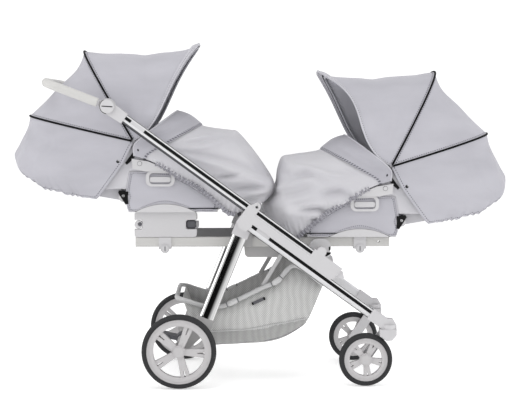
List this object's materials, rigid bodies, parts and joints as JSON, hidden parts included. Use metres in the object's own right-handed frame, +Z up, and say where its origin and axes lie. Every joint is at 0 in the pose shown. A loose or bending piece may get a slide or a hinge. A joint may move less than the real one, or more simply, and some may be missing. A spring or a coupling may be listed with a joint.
{
  "type": "tandem twin pram",
  "caption": "Tandem twin pram with foot-to-foot lie-flat seats, folding hoods, foot covers, a sloping side frame, swivel front wheels and a mesh basket.",
  "frame": {"origin": "on the floor, midway between the two hoods' ends and the two sides", "axes": "+X forwards, away from the handle; +Y to the pram's left; +Z up"},
  "size_m": [1.7214, 0.6, 1.1543],
  "materials": {
    "chrome_tube": "polished",
    "white_plastic": "satin",
    "grey_plastic": "satin",
    "dark_plastic": "matte",
    "black_rod": "matte",
    "grey_rail": "satin",
    "tyre": "matte",
    "hood_cloth": "woven",
    "cover_cloth": "woven",
    "cushion": "woven",
    "mesh": "mesh",
    "rim_pad": "woven",
    "grip": "stitched"
  },
  "bodies": {
    "chassis": {"frame_housings": "white_plastic", "front_legs": "chrome_tube", "front_feet": "white_plastic", "cross_tubes": "grey_rail", "cross_carrier": "grey_plastic", "seat_rails": "grey_rail", "rail_supports": "grey_plastic", "raised_adapters": "grey_plastic", "rail_clamps": "grey_plastic", "clamp_knobs": "dark_plastic", "basket": "mesh", "basket_rim": "rim_pad", "seat_side_covers": "hood_cloth", "carry_rings": "white_plastic", "seat_fittings": "white_plastic", "seat_pads": "cushion", "hood_back_bows": "black_rod", "rear_seat_tub": "white_plastic", "rear_seat_foot_cover": "cover_cloth", "rear_seat_hood_back": "hood_cloth", "front_seat_tub": "white_plastic", "front_seat_foot_cover": "cover_cloth", "front_seat_hood_back": "hood_cloth"},
    "handle_slider": {"handle_tubes": "chrome_tube", "handle_hinges": "white_plastic"},
    "handle": {"handle_bar": "white_plastic", "handle_grip": "grip"},
    "button_left": {"handle_button_left": "white_plastic"},
    "button_right": {"handle_button_right": "white_plastic"},
    "rear_frame": {"rear_leg_tubes": "chrome_tube", "rear_leg_sockets": "white_plastic", "rear_axle": "grey_plastic"},
    "brake": {"brake_pedal": "dark_plastic"},
    "rear_wheel_left": {"rear_rim_left": "white_plastic", "rear_tyre_left": "tyre"},
    "fork_left": {"caster_left": "white_plastic"},
    "front_wheel_left": {"front_rim_left": "white_plastic", "front_tyre_left": "tyre"},
    "rear_wheel_right": {"rear_rim_right": "white_plastic", "rear_tyre_right": "tyre"},
    "fork_right": {"caster_right": "white_plastic"},
    "front_wheel_right": {"front_rim_right": "white_plastic", "front_tyre_right": "tyre"},
    "rear_backrest": {"rear_seat_backrest": "hood_cloth", "rear_seat_back_pad": "cushion"},
    "rear_hood_middle": {"rear_seat_bow_middle": "black_rod", "rear_seat_hood_middle": "hood_cloth"},
    "rear_hood_front": {"rear_seat_bow_front": "black_rod", "rear_seat_hood_front": "hood_cloth"},
    "rear_paddle_left": {"rear_seat_paddle_left": "white_plastic"},
    "rear_paddle_right": {"rear_seat_paddle_right": "white_plastic"},
    "front_backrest": {"front_seat_backrest": "hood_cloth", "front_seat_back_pad": "cushion"},
    "front_hood_middle": {"front_seat_bow_middle": "black_rod", "front_seat_hood_middle": "hood_cloth"},
    "front_hood_front": {"front_seat_bow_front": "black_rod", "front_seat_hood_front": "hood_cloth"},
    "front_paddle_left": {"front_seat_paddle_left": "white_plastic"},
    "front_paddle_right": {"front_seat_paddle_right": "white_plastic"}
  },
  "joints": [
    {"name": "handle_extend", "type": "slide", "parent": "chassis", "child": "handle_slider", "axis": [-0.809, 0, 0.5878], "range_m": [0, 0.08]},
    {"name": "handle_tilt", "type": "hinge", "parent": "handle_slider", "child": "handle", "pos_m": [-0.51595, 0, 0.94012], "axis": [0, 1, 0], "range_deg": [0, 28]},
    {"name": "button_left_press", "type": "slide", "parent": "handle_slider", "child": "button_left", "axis": [0, -1, 0], "range_m": [0, 0.004], "stiffness_N_per_m": 500},
    {"name": "button_right_press", "type": "slide", "parent": "handle_slider", "child": "button_right", "axis": [0, 1, 0], "range_m": [0, 0.004], "stiffness_N_per_m": 500},
    {"name": "rear_frame_fold", "type": "hinge", "parent": "chassis", "child": "rear_frame", "pos_m": [-0.06, 0, 0.552], "axis": [0, -1, 0], "range_deg": [0, 62]},
    {"name": "brake_press", "type": "hinge", "parent": "rear_frame", "child": "brake", "pos_m": [-0.281, 0, 0.125], "axis": [0, -1, 0], "range_deg": [0, 18]},
    {"name": "rear_wheel_left_spin", "type": "hinge", "parent": "rear_frame", "child": "rear_wheel_left", "pos_m": [-0.281, 0.283, 0.125], "axis": [0, 1, 0], "continuous": true},
    {"name": "fork_left_swivel", "type": "hinge", "parent": "chassis", "child": "fork_left", "pos_m": [0.424, 0.248, 0.195], "axis": [0, 0, 1], "continuous": true},
    {"name": "front_wheel_left_spin", "type": "hinge", "parent": "fork_left", "child": "front_wheel_left", "pos_m": [0.346, 0.245, 0.09], "axis": [0, 1, 0], "continuous": true},
    {"name": "rear_wheel_right_spin", "type": "hinge", "parent": "rear_frame", "child": "rear_wheel_right", "pos_m": [-0.281, -0.283, 0.125], "axis": [0, 1, 0], "continuous": true},
    {"name": "fork_right_swivel", "type": "hinge", "parent": "chassis", "child": "fork_right", "pos_m": [0.424, -0.248, 0.195], "axis": [0, 0, 1], "continuous": true},
    {"name": "front_wheel_right_spin", "type": "hinge", "parent": "fork_right", "child": "front_wheel_right", "pos_m": [0.346, -0.245, 0.09], "axis": [0, 1, 0], "continuous": true},
    {"name": "rear_recline", "type": "hinge", "parent": "chassis", "child": "rear_backrest", "pos_m": [-0.47, 0, 0.6343], "axis": [0, 1, 0], "range_deg": [0, 35]},
    {"name": "rear_hood_fold", "type": "hinge", "parent": "chassis", "child": "rear_hood_middle", "pos_m": [-0.433, 0, 0.8233], "axis": [0, -1, 0], "range_deg": [0, 18], "deforming": ["rear_seat_hood_middle"]},
    {"name": "rear_visor_fold", "type": "hinge", "parent": "rear_hood_middle", "child": "rear_hood_front", "pos_m": [-0.433, 0, 0.8233], "axis": [0, -1, 0], "range_deg": [0, 40], "deforming": ["rear_seat_hood_front"]},
    {"name": "rear_paddle_left_lift", "type": "slide", "parent": "chassis", "child": "rear_paddle_left", "axis": [0, 0, 1], "range_m": [0, 0.008], "stiffness_N_per_m": 400},
    {"name": "rear_paddle_right_lift", "type": "slide", "parent": "chassis", "child": "rear_paddle_right", "axis": [0, 0, 1], "range_m": [0, 0.008], "stiffness_N_per_m": 400},
    {"name": "front_recline", "type": "hinge", "parent": "chassis", "child": "front_backrest", "pos_m": [0.47, 0, 0.5493], "axis": [0, -1, 0], "range_deg": [0, 35]},
    {"name": "front_hood_fold", "type": "hinge", "parent": "chassis", "child": "front_hood_middle", "pos_m": [0.433, 0, 0.7383], "axis": [0, 1, 0], "range_deg": [0, 36], "deforming": ["front_seat_hood_middle"]},
    {"name": "front_visor_fold", "type": "hinge", "parent": "front_hood_middle", "child": "front_hood_front", "pos_m": [0.433, 0, 0.7383], "axis": [0, 1, 0], "range_deg": [0, 40], "deforming": ["front_seat_hood_front"]},
    {"name": "front_paddle_left_lift", "type": "slide", "parent": "chassis", "child": "front_paddle_left", "axis": [0, 0, 1], "range_m": [0, 0.008], "stiffness_N_per_m": 400},
    {"name": "front_paddle_right_lift", "type": "slide", "parent": "chassis", "child": "front_paddle_right", "axis": [0, 0, 1], "range_m": [0, 0.008], "stiffness_N_per_m": 400}
  ],
  "couplings": [
    {"joint": "rear_visor_fold", "follows": "rear_hood_fold", "ratio": 2.2217},
    {"joint": "front_visor_fold", "follows": "front_hood_fold", "ratio": 1.1106}
  ]
}
